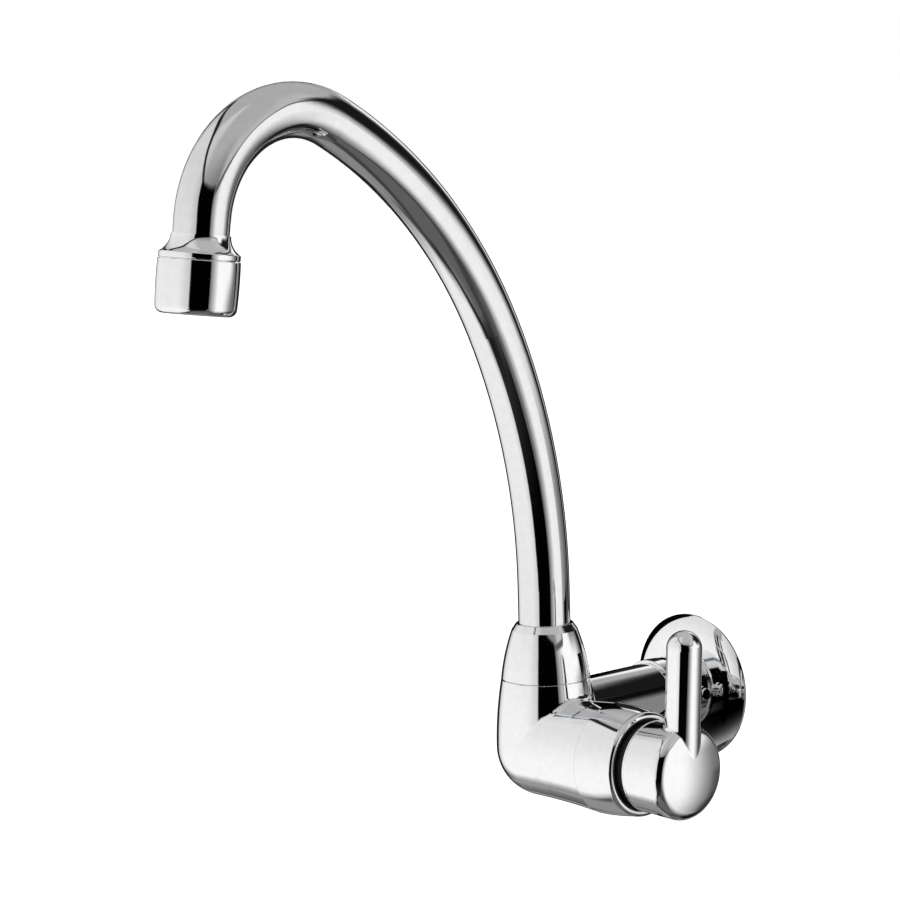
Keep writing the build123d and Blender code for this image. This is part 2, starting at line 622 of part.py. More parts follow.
# Pair of O-rings on the bush
with BuildPart() as spout_o_rings:
    with BuildSketch(SECTION):
        for height in groove_heights:
            with Locations((BUSH_RADIUS - O_RING_SECTION, height)):
                Circle(O_RING_SECTION)
    revolve(axis=SPOUT_AXIS)
finish_piece(spout_o_rings, "spout_o_rings")

# Swan-neck tube: straight foot, three bends of falling radius and a straight end
with BuildLine(SPOUT_SIDE) as neck_line:
    riser = Line((0, TUBE_FOOT_Z), (0, TUBE_FOOT_Z + RISER_LENGTH))
    back_bend = JernArc(riser @ 1, riser % 1, BACK_BEND_RADIUS, -BACK_BEND_ANGLE)
    upper_bend = JernArc(back_bend @ 1, back_bend % 1, UPPER_BEND_RADIUS, -UPPER_BEND_ANGLE)
    crown_bend = JernArc(upper_bend @ 1, upper_bend % 1, CROWN_BEND_RADIUS, -CROWN_BEND_ANGLE)
    neck_end = Line(crown_bend @ 1, crown_bend @ 1 + (crown_bend % 1) * (FLARE_START + FLARE_LENGTH))

with BuildPart() as spout_tube:
    with BuildSketch(level_plane(TUBE_FOOT_Z)):
        Circle(TUBE_RADIUS)
        Circle(TUBE_RADIUS - TUBE_WALL, mode=Mode.SUBTRACT)
    sweep(path=neck_line.wire())
finish_piece(spout_tube, "spout_tube")

# Frame of the outlet: local x runs down the outlet axis from the end of the crown bend
OUTLET_START = crown_bend @ 1
OUTLET_WAY = crown_bend % 1
OUTLET_SECTION = Plane(origin=OUTLET_START, x_dir=OUTLET_WAY, z_dir=(-1, 0, 0))
OUTLET_AXIS = Axis(OUTLET_START, OUTLET_WAY)


def outlet_plane(place):
    """Plane square to the outlet axis, facing down the stream."""
    return Plane(origin=OUTLET_START + OUTLET_WAY * place, x_dir=(1, 0, 0), z_dir=OUTLET_WAY)


band_start = FLARE_START + FLARE_LENGTH
band_end = band_start + BAND_HEIGHT
nipple_end = band_end + OUTLET_THREAD_LENGTH
tube_bore = TUBE_RADIUS + SLIP_GAP

# Flared ferrule brazed on the end of the tube, with the aerator's thread
with BuildPart() as outlet_ferrule:
    with BuildSketch(OUTLET_SECTION):
        with BuildLine():
            flare_foot = (FLARE_START, tube_bore + FLARE_EDGE)
            TangentArc(flare_foot, (band_start, BAND_RADIUS), tangent=(1, 0))
            Polyline(
                (band_start, BAND_RADIUS),
                (band_end, BAND_RADIUS),
                (band_end, OUTLET_THREAD_RADIUS),
                (nipple_end, OUTLET_THREAD_RADIUS),
                (nipple_end, OUTLET_NECK_BORE),
                (band_start + FACE_GAP, OUTLET_NECK_BORE),
                (band_start + FACE_GAP, tube_bore),
                (FLARE_START, tube_bore),
                flare_foot,
            )
        make_face()
    revolve(axis=OUTLET_AXIS)
    band_edges = [
        edge
        for edge in outlet_ferrule.edges().filter_by(GeomType.CIRCLE)
        if abs(edge.radius - BAND_RADIUS) < ON_SURFACE
    ]
    fillet(band_edges, BAND_ROUND)
finish_piece(outlet_ferrule, "outlet_ferrule")

shell_start = band_end + SEAM_GAP
shell_end = shell_start + SHELL_LENGTH
washer_end = nipple_end + AERATOR_WASHER_THICKNESS
screen_end = washer_end + SCREEN_THICKNESS
ledge = screen_end + INSERT_FLANGE
lip_start = shell_end - SHELL_LIP
nest_radius = OUTLET_THREAD_RADIUS - SLIP_GAP
insert_radius = OUTLET_THREAD_RADIUS - INSERT_LEDGE_WIDTH

# Aerator shell that screws onto the ferrule
with BuildPart() as aerator_shell:
    with BuildSketch(OUTLET_SECTION):
        with BuildLine():
            SagittaArc((shell_start, SHELL_RADIUS), (shell_end, SHELL_FOOT_RADIUS), SHELL_BULGE)
            Polyline(
                (shell_end, SHELL_FOOT_RADIUS),
                (shell_end, SHELL_MOUTH_RADIUS),
                (lip_start, SHELL_MOUTH_RADIUS),
                (lip_start, insert_radius + SLIP_GAP),
                (ledge, insert_radius + SLIP_GAP),
                (ledge, OUTLET_THREAD_RADIUS + SLIP_GAP),
                (shell_start, OUTLET_THREAD_RADIUS + SLIP_GAP),
                (shell_start, SHELL_RADIUS),
            )
        make_face()
    revolve(axis=OUTLET_AXIS)
    foot_edges = [
        edge
        for edge in aerator_shell.edges().filter_by(GeomType.CIRCLE)
        if abs(edge.radius - SHELL_FOOT_RADIUS) < ON_SURFACE
    ]
    fillet(foot_edges, SHELL_LOWER_ROUND)
    top_edges = [
        edge
        for edge in aerator_shell.edges().filter_by(GeomType.CIRCLE)
        if abs(edge.radius - SHELL_RADIUS) < ON_SURFACE
    ]
    chamfer(top_edges, SEAM_CHAMFER)
finish_piece(aerator_shell, "aerator_shell")

# Flat washer between the ferrule's thread and the screen
with BuildPart() as aerator_washer:
    with BuildSketch(outlet_plane(nipple_end)):
        Circle(nest_radius)
        Circle(nest_radius - AERATOR_WASHER_WIDTH, mode=Mode.SUBTRACT)
    extrude(amount=AERATOR_WASHER_THICKNESS)
finish_piece(aerator_washer, "aerator_washer")

# Perforated inlet screen
with BuildPart() as aerator_screen:
    with BuildSketch(outlet_plane(washer_end)):
        Circle(nest_radius)
        hole_reach = nest_radius - AERATOR_WASHER_WIDTH - SCREEN_HOLE_RADIUS
        with Locations(*round_grid(SCREEN_PITCH, hole_reach)):
            Circle(SCREEN_HOLE_RADIUS, mode=Mode.SUBTRACT)
    extrude(amount=SCREEN_THICKNESS)
finish_piece(aerator_screen, "aerator_screen")

# Plastic jet insert: a cup whose floor is a grid of small jets
with BuildPart() as aerator_insert:
    with BuildSketch(outlet_plane(screen_end)):
        Circle(nest_radius)
    extrude(amount=INSERT_FLANGE)
    with BuildSketch(outlet_plane(screen_end)):
        Circle(insert_radius)
    extrude(amount=lip_start - screen_end)
    with BuildSketch(outlet_plane(screen_end)):
        Circle(insert_radius - INSERT_WALL)
    extrude(amount=lip_start - screen_end - INSERT_PLATE, mode=Mode.SUBTRACT)
    with BuildSketch(outlet_plane(screen_end)):
        jet_reach = insert_radius - INSERT_WALL - INSERT_HOLE_RADIUS - INSERT_HOLE_MARGIN
        with Locations(*round_grid(INSERT_PITCH, jet_reach)):
            Circle(INSERT_HOLE_RADIUS)
    extrude(amount=lip_start - screen_end, mode=Mode.SUBTRACT)
finish_piece(aerator_insert, "aerator_insert")

# Rubber seal pressed between the seat in the body and the fixed disc
with BuildPart() as seat_seal:
    with BuildSketch(arm_plane(SEAT_FACE)):
        Circle(HEADWORK_CAVITY_RADIUS - SLIP_GAP)
        Circle(SEAT_BORE, mode=Mode.SUBTRACT)
    extrude(amount=SEAL_THICKNESS)
finish_piece(seat_seal, "seat_seal")

fixed_ports = ring_sectors(
    PORT_INNER_RADIUS, PORT_OUTER_RADIUS, (PORT_ANGLE, PORT_ANGLE + 2 * QUARTER_TURN), PORT_SPAN
)
moving_ports = ring_sectors(
    PORT_INNER_RADIUS,
    PORT_OUTER_RADIUS,
    (PORT_ANGLE + QUARTER_TURN, PORT_ANGLE + 3 * QUARTER_TURN),
    PORT_SPAN,
)
stop_ribs = ring_sectors(
    STOP_RIB_INNER_RADIUS,
    HEADWORK_CAVITY_RADIUS + SLIP_GAP,
    (STOP_RIB_ANGLE, STOP_RIB_ANGLE + 2 * QUARTER_TURN),
    STOP_RIB_SPAN,
)

# Fixed ceramic disc, keyed to the headwork body
with BuildPart() as fixed_disc:
    with BuildSketch(arm_plane(SEAL_FACE)):
        Circle(DISC_RADIUS)
        with Locations((DISC_RADIUS, 0), (-DISC_RADIUS, 0)):
            Rectangle(2 * DISC_KEY_DEPTH, DISC_KEY_WIDTH)
        add(fixed_ports, mode=Mode.SUBTRACT)
    extrude(amount=DISC_THICKNESS)
finish_piece(fixed_disc, "fixed_disc")

# Moving ceramic disc, a quarter turn out of line with the fixed one when the lever is up
with BuildPart() as moving_disc:
    with BuildSketch(arm_plane(MOVING_DISC_FACE)):
        Circle(DISC_RADIUS)
        add(moving_ports, mode=Mode.SUBTRACT)
    extrude(amount=DISC_THICKNESS)
    with BuildSketch(arm_plane(MOVING_DISC_FACE + DISC_THICKNESS)):
        tang_slot = SPINDLE_TANG_WIDTH + 2 * SLIP_GAP
        Rectangle(2 * (DISC_RADIUS + CUT_PAST), tang_slot, rotation=PORT_ANGLE)
    extrude(amount=-SPINDLE_TANG_DEPTH - FACE_GAP, mode=Mode.SUBTRACT)
finish_piece(moving_disc, "moving_disc")

# Headwork body: slotted cage for the discs, thread, hexagon and neck
with BuildPart() as headwork_body:
    with BuildSketch(arm_plane(CAGE_START)):
        Circle(HEADWORK_RADIUS)
    extrude(amount=CHAMBER_END - CAGE_START)
    with BuildSketch(arm_plane(CHAMBER_END)):
        Circle(HEADWORK_THREAD_RADIUS)
    extrude(amount=SIDE_ARM_LENGTH - CHAMBER_END)
    with BuildSketch(arm_plane(SIDE_ARM_LENGTH)):
        Circle(HEADWORK_THREAD_RADIUS)
    extrude(amount=HEX_FACE - SIDE_ARM_LENGTH)
    with BuildSketch(arm_plane(HEX_FACE)):
        RegularPolygon(HEADWORK_HEX / 2, 6, major_radius=False)
    extrude(amount=HEADWORK_HEX_LENGTH)
    with BuildSketch(arm_plane(HEX_FACE + HEADWORK_HEX_LENGTH)):
        Circle(NECK_RADIUS)
    extrude(amount=NECK_END - HEX_FACE - HEADWORK_HEX_LENGTH)
    with BuildSketch(arm_plane(CAGE_START)):
        Circle(HEADWORK_CAVITY_RADIUS)
    extrude(amount=HEADWORK_CAVITY_END - CAGE_START, mode=Mode.SUBTRACT)
    with BuildSketch(arm_plane(CAGE_START)):
        Circle(SPINDLE_RADIUS + SLIP_GAP)
    extrude(until=Until.LAST, mode=Mode.SUBTRACT)
    # Slots that hold the keys of the fixed disc
    with BuildSketch(arm_plane(CAGE_START)):
        Rectangle(2 * (HEADWORK_RADIUS + CUT_PAST), DISC_KEY_WIDTH + 2 * SLIP_GAP)
    extrude(amount=SEAL_FACE + DISC_THICKNESS - CAGE_START, mode=Mode.SUBTRACT)
    # Side windows that let the water out
    with BuildSketch(arm_plane(SPINDLE_HEAD_FACE)):
        Rectangle(2 * (HEADWORK_RADIUS + CUT_PAST), WINDOW_WIDTH, rotation=WINDOW_ANGLE)
    extrude(amount=SPINDLE_HEAD_LENGTH, mode=Mode.SUBTRACT)
    # Ribs that stop the spindle's head after a quarter turn
    with BuildSketch(arm_plane(SPINDLE_HEAD_FACE)):
        add(stop_ribs)
    extrude(amount=SPINDLE_HEAD_LENGTH)
finish_piece(headwork_body, "headwork_body")

# O-ring under the hexagon
with BuildPart() as headwork_o_ring:
    with BuildSketch(SECTION):
        o_ring_place = SIDE_ARM_LENGTH + HEADWORK_SEAL_SECTION
        o_ring_radius = HEADWORK_THREAD_RADIUS + SLIP_GAP + HEADWORK_SEAL_SECTION
        with Locations((o_ring_place, ARM_Z + o_ring_radius)):
            Circle(HEADWORK_SEAL_SECTION)
    revolve(axis=ARM_AXIS)
finish_piece(headwork_o_ring, "headwork_o_ring")

# Spindle: tang and head, shoulder, stem with two grooves, circlip groove and spline
with BuildPart() as spindle:
    with BuildSketch(arm_plane(SPINDLE_HEAD_FACE - SPINDLE_TANG_DEPTH)):
        Circle(SPINDLE_HEAD_RADIUS)
        Rectangle(
            2 * SPINDLE_HEAD_RADIUS, SPINDLE_TANG_WIDTH, rotation=PORT_ANGLE, mode=Mode.INTERSECT
        )
    extrude(amount=SPINDLE_TANG_DEPTH)
    with BuildSketch(arm_plane(SPINDLE_HEAD_FACE)):
        Circle(SPINDLE_HEAD_RADIUS)
        Rectangle(
            2 * SPINDLE_HEAD_RADIUS, SPINDLE_HEAD_WIDTH, rotation=PORT_ANGLE, mode=Mode.INTERSECT
        )
    extrude(amount=SPINDLE_HEAD_LENGTH)
    with BuildSketch(arm_plane(SHOULDER_FACE)):
        Circle(SPINDLE_HEAD_RADIUS)
    extrude(amount=SPINDLE_SHOULDER)
    with BuildSketch(arm_plane(SHOULDER_FACE + SPINDLE_SHOULDER)):
        Circle(SPINDLE_RADIUS)
    extrude(amount=SPLINE_START - SHOULDER_FACE - SPINDLE_SHOULDER)
    for place in SPINDLE_O_RING_PLACES:
        with BuildSketch(arm_plane(place - SPINDLE_GROOVE_WIDTH / 2)):
            Circle(SPINDLE_RADIUS + CUT_PAST)
            Circle(SPINDLE_RADIUS - 2 * SPINDLE_O_RING_SECTION, mode=Mode.SUBTRACT)
        extrude(amount=SPINDLE_GROOVE_WIDTH, mode=Mode.SUBTRACT)
    with BuildSketch(arm_plane(CIRCLIP_FACE - FACE_GAP)):
        Circle(SPINDLE_RADIUS + CUT_PAST)
        Circle(SPINDLE_RADIUS - CIRCLIP_GROOVE_DEPTH, mode=Mode.SUBTRACT)
    extrude(amount=CIRCLIP_THICKNESS + 2 * FACE_GAP, mode=Mode.SUBTRACT)
    with BuildSketch(arm_plane(SPLINE_START)):
        Circle(SPLINE_RADIUS)
        with PolarLocations(SPLINE_RADIUS, SPLINE_TEETH):
            Rectangle(SPLINE_TOOTH, SPLINE_TOOTH, rotation=SPLINE_TURN, mode=Mode.SUBTRACT)
    extrude(amount=SPINDLE_END - SPLINE_START)
finish_piece(spindle, "spindle")

# Pair of O-rings on the spindle
with BuildPart() as spindle_o_rings:
    with BuildSketch(SECTION):
        for place in SPINDLE_O_RING_PLACES:
            with Locations((place, ARM_Z + SPINDLE_RADIUS - SPINDLE_O_RING_SECTION)):
                Circle(SPINDLE_O_RING_SECTION)
    revolve(axis=ARM_AXIS)
finish_piece(spindle_o_rings, "spindle_o_rings")

# Glide washer between the spindle's shoulder and the headwork body
with BuildPart() as spindle_glide_washer:
    washer_face = HEADWORK_CAVITY_END - GLIDE_WASHER_THICKNESS
    with BuildSketch(arm_plane(washer_face)):
        Circle(HEADWORK_CAVITY_RADIUS - SLIP_GAP)
        Circle(SPINDLE_RADIUS + SLIP_GAP, mode=Mode.SUBTRACT)
    extrude(amount=GLIDE_WASHER_THICKNESS)
finish_piece(spindle_glide_washer, "spindle_glide_washer")

# Circlip that keeps the spindle in the neck
with BuildPart() as spindle_circlip:
    clip_inner = SPINDLE_RADIUS - CIRCLIP_GROOVE_DEPTH + SLIP_GAP
    with BuildSketch(arm_plane(CIRCLIP_FACE)):
        Circle(clip_inner + CIRCLIP_WIDTH)
        Circle(clip_inner, mode=Mode.SUBTRACT)
        with Locations((0, -clip_inner)):
            Rectangle(CIRCLIP_OPENING, 2 * clip_inner, mode=Mode.SUBTRACT)
    extrude(amount=CIRCLIP_THICKNESS)
finish_piece(spindle_circlip, "spindle_circlip")

# Side sleeve: a tapered shell with a rolled bead at its mouth
with BuildPart() as side_sleeve:
    with BuildSketch(SECTION):
        with BuildLine():
            bead_start = SLEEVE_END - SLEEVE_BEAD
            thread_end = SLEEVE_START + SLEEVE_THREAD_LENGTH
            sleeve_back = (SLEEVE_START, ARM_Z + SIDE_ARM_RADIUS)
            bead_foot = (bead_start, ARM_Z + SLEEVE_RIM_RADIUS)
            SagittaArc(sleeve_back, bead_foot, SLEEVE_BULGE)
            RadiusArc(bead_foot, (SLEEVE_END, ARM_Z + SLEEVE_MOUTH_RADIUS), SLEEVE_BEAD_RADIUS)
            Polyline(
                (SLEEVE_END, ARM_Z + SLEEVE_MOUTH_RADIUS),
                (thread_end, ARM_Z + SLEEVE_MOUTH_RADIUS),
                (thread_end, ARM_Z + SLEEVE_THREAD_RADIUS + SLIP_GAP),
                (SLEEVE_START, ARM_Z + SLEEVE_THREAD_RADIUS + SLIP_GAP),
                sleeve_back,
            )
        make_face()
    revolve(axis=ARM_AXIS)
finish_piece(side_sleeve, "side_sleeve")

# Black plastic ring on the headwork's neck, in the mouth of the sleeve
with BuildPart() as handle_glide_ring:
    with BuildSketch(arm_plane(SLEEVE_END - GLIDE_RING_DEPTH)):
        Circle(SLEEVE_MOUTH_RADIUS - SLIP_GAP)
        Circle(NECK_RADIUS + SLIP_GAP, mode=Mode.SUBTRACT)
    extrude(amount=GLIDE_RING_DEPTH - SLEEVE_BEAD)
    with BuildSketch(arm_plane(SLEEVE_END - SLEEVE_BEAD)):
        Circle(GLIDE_RING_RADIUS)
        Circle(NECK_RADIUS + SLIP_GAP, mode=Mode.SUBTRACT)
    extrude(amount=SLEEVE_BEAD + GLIDE_RING_REACH)
finish_piece(handle_glide_ring, "handle_glide_ring")

# Handle: barrel with a domed face, and a round lever that melts into the face
lever_top_z = ARM_Z + LEVER_RISE - LEVER_RADIUS
lever_top = Vector(HANDLE_FACE - LEVER_TIP_INSET, -SPOUT_OFFSET, lever_top_z)
lever_way = Vector(-sin(radians(LEVER_LEAN)), 0, -cos(radians(LEVER_LEAN)))
lever_length = (lever_top_z - ARM_Z) / cos(radians(LEVER_LEAN))
with BuildPart() as handle:
    with BuildSketch(SECTION) as barrel:
        with BuildLine():
            bead_start = (HANDLE_START, ARM_Z + HANDLE_BACK_RADIUS - HANDLE_BEAD_HEIGHT)
            bead_end = (HANDLE_START + HANDLE_BEAD, ARM_Z + HANDLE_BACK_RADIUS)
            face_edge = (HANDLE_EDGE, ARM_Z + HANDLE_RADIUS)
            face_top = (HANDLE_FACE, ARM_Z)
            RadiusArc(bead_start, bead_end, HANDLE_BEAD_RADIUS)
            Line(bead_end, face_edge)
            TangentArc(face_top, face_edge, tangent=(0, 1))
            Polyline(face_top, (HANDLE_START, ARM_Z), bead_start)
        make_face()
        fillet(barrel.vertices().sort_by_distance(face_edge)[0], FACE_ROUND)
    revolve(axis=ARM_AXIS)
    with BuildSketch(Plane(origin=lever_top, z_dir=lever_way)):
        Circle(LEVER_RADIUS)
    extrude(amount=lever_length)
    with Locations(lever_top):
        Sphere(LEVER_RADIUS)
    lever_root = [edge for edge in handle.edges().filter_by(GeomType.BSPLINE) if (edge @ 0.5).Z > ARM_Z]
    fillet(lever_root, LEVER_FILLET)
    # Hollow back with a boss for the insert and a boss for the screw
    with BuildSketch(arm_plane(HANDLE_START)):
        Circle(HANDLE_BACK_RADIUS - HANDLE_WALL)
    extrude(amount=CAVITY_END - HANDLE_START, mode=Mode.SUBTRACT)
    with BuildSketch(arm_plane(BOSS_START)):
        Circle(BOSS_RADIUS)
    extrude(amount=CAVITY_END - BOSS_START)
    with BuildSketch(SCREW_PLANE):
        Circle(GRUB_SCREW_BOSS_RADIUS)
    extrude(amount=HANDLE_BACK_RADIUS - HANDLE_WALL / 2)
    with BuildSketch(arm_plane(BOSS_START)):
        RegularPolygon(INSERT_HEX / 2 + SLIP_GAP, 6, major_radius=False, rotation=INSERT_TURN)
    extrude(amount=INSERT_END - BOSS_START, mode=Mode.SUBTRACT)
    with BuildSketch(SCREW_PLANE):
        Circle(GRUB_SCREW_RADIUS + SLIP_GAP)
    extrude(amount=HANDLE_RADIUS + CUT_PAST, mode=Mode.SUBTRACT)
finish_piece(handle, "handle")

# Splined plastic insert between the spindle and the handle
with BuildPart() as handle_insert:
    with BuildSketch(arm_plane(BOSS_START)):
        RegularPolygon(INSERT_HEX / 2, 6, major_radius=False, rotation=INSERT_TURN)
    extrude(amount=INSERT_END - BOSS_START)
    with BuildSketch(arm_plane(BOSS_START)):
        Circle(SPLINE_RADIUS + SLIP_GAP)
        with PolarLocations(SPLINE_RADIUS, SPLINE_TEETH):
            insert_tooth = SPLINE_TOOTH - SPLINE_PLAY
            Rectangle(insert_tooth, insert_tooth, rotation=SPLINE_TURN, mode=Mode.SUBTRACT)
    extrude(amount=SPINDLE_END + SPINDLE_TIP_GAP - BOSS_START, mode=Mode.SUBTRACT)
finish_piece(handle_insert, "handle_insert")

# Grub screw that locks the handle on the insert
with BuildPart() as handle_grub_screw:
    screw_foot = INSERT_HEX / 2 + FACE_GAP
    with BuildSketch(SCREW_PLANE.offset(screw_foot)):
        Circle(GRUB_SCREW_RADIUS)
    extrude(amount=GRUB_SCREW_LENGTH)
    with BuildSketch(SCREW_PLANE.offset(screw_foot + GRUB_SCREW_LENGTH)):
        RegularPolygon(GRUB_SCREW_KEY / 2, 6, major_radius=False)
    extrude(amount=-GRUB_SCREW_KEY, mode=Mode.SUBTRACT)
finish_piece(handle_grub_screw, "handle_grub_screw")

overall = Compound(children=SOLIDS).bounding_box()
print("pieces", len(SOLIDS), "size", overall.size)
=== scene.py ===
import json
import math

import bmesh
import bpy
from mathutils import Matrix, Vector


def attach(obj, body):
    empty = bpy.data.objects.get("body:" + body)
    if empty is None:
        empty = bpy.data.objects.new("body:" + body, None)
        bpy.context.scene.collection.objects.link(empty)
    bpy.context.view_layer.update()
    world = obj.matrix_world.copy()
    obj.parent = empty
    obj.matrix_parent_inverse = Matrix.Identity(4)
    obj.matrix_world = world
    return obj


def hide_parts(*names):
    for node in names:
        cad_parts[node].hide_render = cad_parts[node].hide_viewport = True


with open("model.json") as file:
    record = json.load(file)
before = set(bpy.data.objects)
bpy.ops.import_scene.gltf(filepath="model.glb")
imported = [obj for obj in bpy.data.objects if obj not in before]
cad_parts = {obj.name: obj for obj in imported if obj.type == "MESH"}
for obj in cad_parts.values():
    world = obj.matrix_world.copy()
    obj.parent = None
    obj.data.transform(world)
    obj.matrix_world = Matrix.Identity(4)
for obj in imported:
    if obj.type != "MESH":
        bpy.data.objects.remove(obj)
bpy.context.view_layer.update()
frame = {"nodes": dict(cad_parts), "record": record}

# Places shared with the solids, in metres
SPOUT_AXIS_Y = -0.078
ARM_AXIS_Z = -0.0095

# Domed face of the handle, and the edge of the patch round its middle
FACE_MIDDLE = Vector((0.07411, SPOUT_AXIS_Y, ARM_AXIS_Z))
FACE_DOME_RADIUS = 0.0508
FACE_PATCH_EDGE = (0.00279, 0.0031)

# Inlet nipple, in metres, at the sizes of its solid
THREAD_CREST = 0.01048
THREAD_DEPTH = 0.00116
THREAD_PITCH = 0.0254 / 14
THREAD_FLANK = 1.2
THREAD_END = 0.015
THREAD_LEAD = 0.001
THREAD_RELIEF = 0.0012
NUT_HALF_WIDTH = 0.0105
NUT_CORNER = math.radians(60.0)
NUT_END = -0.00395
SPIGOT_RADIUS = 0.01043
SPIGOT_END = -0.01395
NIPPLE_BORE = 0.0065
NIPPLE_COLUMNS = 96
ROWS_PER_PITCH = 12
SHARP_ANGLE = math.radians(35.0)

# Chrome plating
CASTING_TONES = ((0.90, 0.905, 0.915), (0.94, 0.943, 0.95))
CASTING_ROUGHNESS = 0.025
TUBE_TONES = ((0.80, 0.805, 0.815), (0.84, 0.843, 0.85))
TUBE_ROUGHNESS = 0.03
HAZE_ROUGHNESS = 0.03
HAZE_SCALE = 400.0
WAVE_SCALE = 60.0
WAVE_HEIGHT = 0.00002
LINE_SCALE = 30.0
LINE_STRETCH = (8.0, 8.0, 1.0)
LINE_HEIGHT = 0.000005
MIDDLE_OF_NOISE = (0.3, 0.7)
MOST_OF_NOISE = (0.2, 0.8)

# Camera at the photograph's angle
CAMERA_AZIMUTH = 46.96
CAMERA_ELEVATION = 8.148
CAMERA_ROLL = -1.538
CAMERA_DISTANCE = 1.2641
CAMERA_AIM = Vector((0.016396, -0.138, 0.10783))
CAMERA_LENS = 145.85
CAMERA_NEAR = 0.05
CAMERA_FAR = 50.0
SENSOR_WIDTH = 36.0

# Floor and even light
FLOOR_Z = -0.42
FLOOR_SIZE = 12.0
FLOOR_GREY = 0.85
FLOOR_WHITENING = 0.55
EVEN_LIGHT = 0.9

# Tent of panels and cards round the tap
TENT_RADIUS = 1.0
TENT_COLUMNS = 48
TENT_ROWS = 24
TENT_CENTRE = (0.0, SPOUT_AXIS_Y, 0.05)
TENT_GLOW = 1.08
DISPLAY_GAMMA = 2.2

# Cards of painted shade close to the wall arm, dark glowing sheets that only polished metal sees,
# standing in for the tap's own shade on its flange and arm: corners, then the heights of the two
# shades behind them
PAINTED_SHADE_CARDS = {
    "painted_shade_under_arm": (
        [
            (-0.075, -0.045, -0.08),
            (0.048, -0.045, -0.08),
            (0.048, -0.045, -0.013),
            (-0.075, -0.045, -0.013),
        ],
        (-0.08, -0.015),
        (0.58, 0.0),
    ),
    "painted_shade_left_of_flange": (
        [(-0.06, 0.0, -0.01), (-0.06, -0.05, 0.1), (-0.06, 0.02, 0.1), (-0.06, 0.02, -0.01)],
        (0.0, 0.1),
        (0.02, 0.06),
    ),
    "painted_shade_right_of_arm": (
        [(0.045, -0.02, -0.08), (0.045, 0.08, -0.08), (0.045, 0.08, 0.032), (0.045, -0.02, 0.032)],
        (0.004, 0.022),
        (0.50, 0.08),
    ),
    "painted_shade_beside_hub": (
        [
            (0.016, -0.022, -0.015),
            (0.016, -0.008, -0.015),
            (0.016, -0.008, 0.008),
            (0.016, -0.022, 0.008),
        ],
        (-0.015, 0.008),
        (0.02, 0.04),
    ),
}


class Socket:
    """An output of a material's nodes. Arithmetic on it adds Math nodes."""

    def __init__(self, tree, output):
        self.tree = tree
        self.output = output

    def math(self, operation, *values):
        node = self.tree.nodes.new("ShaderNodeMath")
        node.operation = operation
        for place, value in enumerate(values):
            if isinstance(value, Socket):
                self.tree.links.new(value.output, node.inputs[place])
            else:
                node.inputs[place].default_value = value
        return Socket(self.tree, node.outputs[0])

    def __add__(self, other):
        return self.math("ADD", self, other)

    def __radd__(self, other):
        return self.math("ADD", other, self)

    def __sub__(self, other):
        return self.math("SUBTRACT", self, other)

    def __rsub__(self, other):
        return self.math("SUBTRACT", other, self)

    def __mul__(self, other):
        return self.math("MULTIPLY", self, other)

    def __rmul__(self, other):
        return self.math("MULTIPLY", other, self)

    def __pow__(self, other):
        return self.math("POWER", self, other)

    def __neg__(self):
        return self.math("MULTIPLY", self, -1.0)

    def __abs__(self):
        return self.math("ABSOLUTE", self)

    def least(self, other):
        return self.math("MINIMUM", self, other)

    def most(self, other):
        return self.math("MAXIMUM", self, other)

    def between(self, low, high, start=0.0, end=1.0):
        """Smooth step from start to end as the value goes from low to high."""
        node = self.tree.nodes.new("ShaderNodeMapRange")
        node.interpolation_type = "SMOOTHSTEP"
        self.tree.links.new(self.output, node.inputs["Value"])
        node.inputs["From Min"].default_value = low
        node.inputs["From Max"].default_value = high
        node.inputs["To Min"].default_value = start
        node.inputs["To Max"].default_value = end
        return Socket(self.tree, node.outputs["Result"])

    def until(self, low, high):
        """Smooth step from 1 to 0 as the value goes from low to high."""
        return self.between(low, high, 1.0, 0.0)


class Finish:
    """A node tree with one method for every node that isn't arithmetic."""

    def __init__(self, owner):
        owner.use_nodes = True
        self.owner = owner
        self.tree = owner.node_tree
        self.tree.nodes.clear()

    def node(self, kind, settings=None, out=0, **sockets):
        """Adds a node: its settings first, then the values or links of its sockets."""
        made = self.tree.nodes.new(kind)
        for name, value in (settings or {}).items():
            setattr(made, name, value)
        for name, value in sockets.items():
            socket = self.find_input(made, name)
            if isinstance(value, Socket):
                self.tree.links.new(value.output, socket)
            else:
                socket.default_value = value
        return Socket(self.tree, made.outputs[out]) if made.outputs else made

    def find_input(self, made, name):
        """Input by position, as in_0, or by its label with spaces written as underscores."""
        if name.startswith("in_"):
            return made.inputs[int(name[3:])]
        label = name.replace("_", " ")
        for socket in made.inputs:
            if socket.name.lower() == label.lower() and socket.enabled:
                return socket
        raise KeyError(name)

    def place(self, scale=(1.0, 1.0, 1.0)):
        """Object coordinates in metres times scale."""
        position = self.node("ShaderNodeTexCoord", out="Object")
        return self.node("ShaderNodeVectorMath", {"operation": "MULTIPLY"}, in_0=position, in_1=scale)

    def noise(self, scale, detail, stretch=(1.0, 1.0, 1.0)):
        return self.node("ShaderNodeTexNoise", Vector=self.place(stretch), Scale=scale, Detail=detail)

    def mix(self, factor, first, second):
        """Colour from first to second."""
        return self.node(
            "ShaderNodeMix",
            {"data_type": "RGBA"},
            out=2,
            in_0=factor,
            in_6=opaque(first),
            in_7=opaque(second),
        )

    def bump(self, height, distance):
        return self.node("ShaderNodeBump", Height=height, Distance=distance)

    def surface(self, **sockets):
        shader = self.node("ShaderNodeBsdfPrincipled", **sockets)
        self.node("ShaderNodeOutputMaterial", Surface=shader)
        return self.owner


def new_finish(name):
    return Finish(bpy.data.materials.new(name))


def opaque(tone):
    return (*tone, 1.0)


def grey(level):
    return (level, level, level, 1.0)


def buffed_waves(finish):
    """Relief of a casting: the faint waviness that buffing leaves."""
    return finish.bump(finish.noise(WAVE_SCALE, detail=1.0), WAVE_HEIGHT)


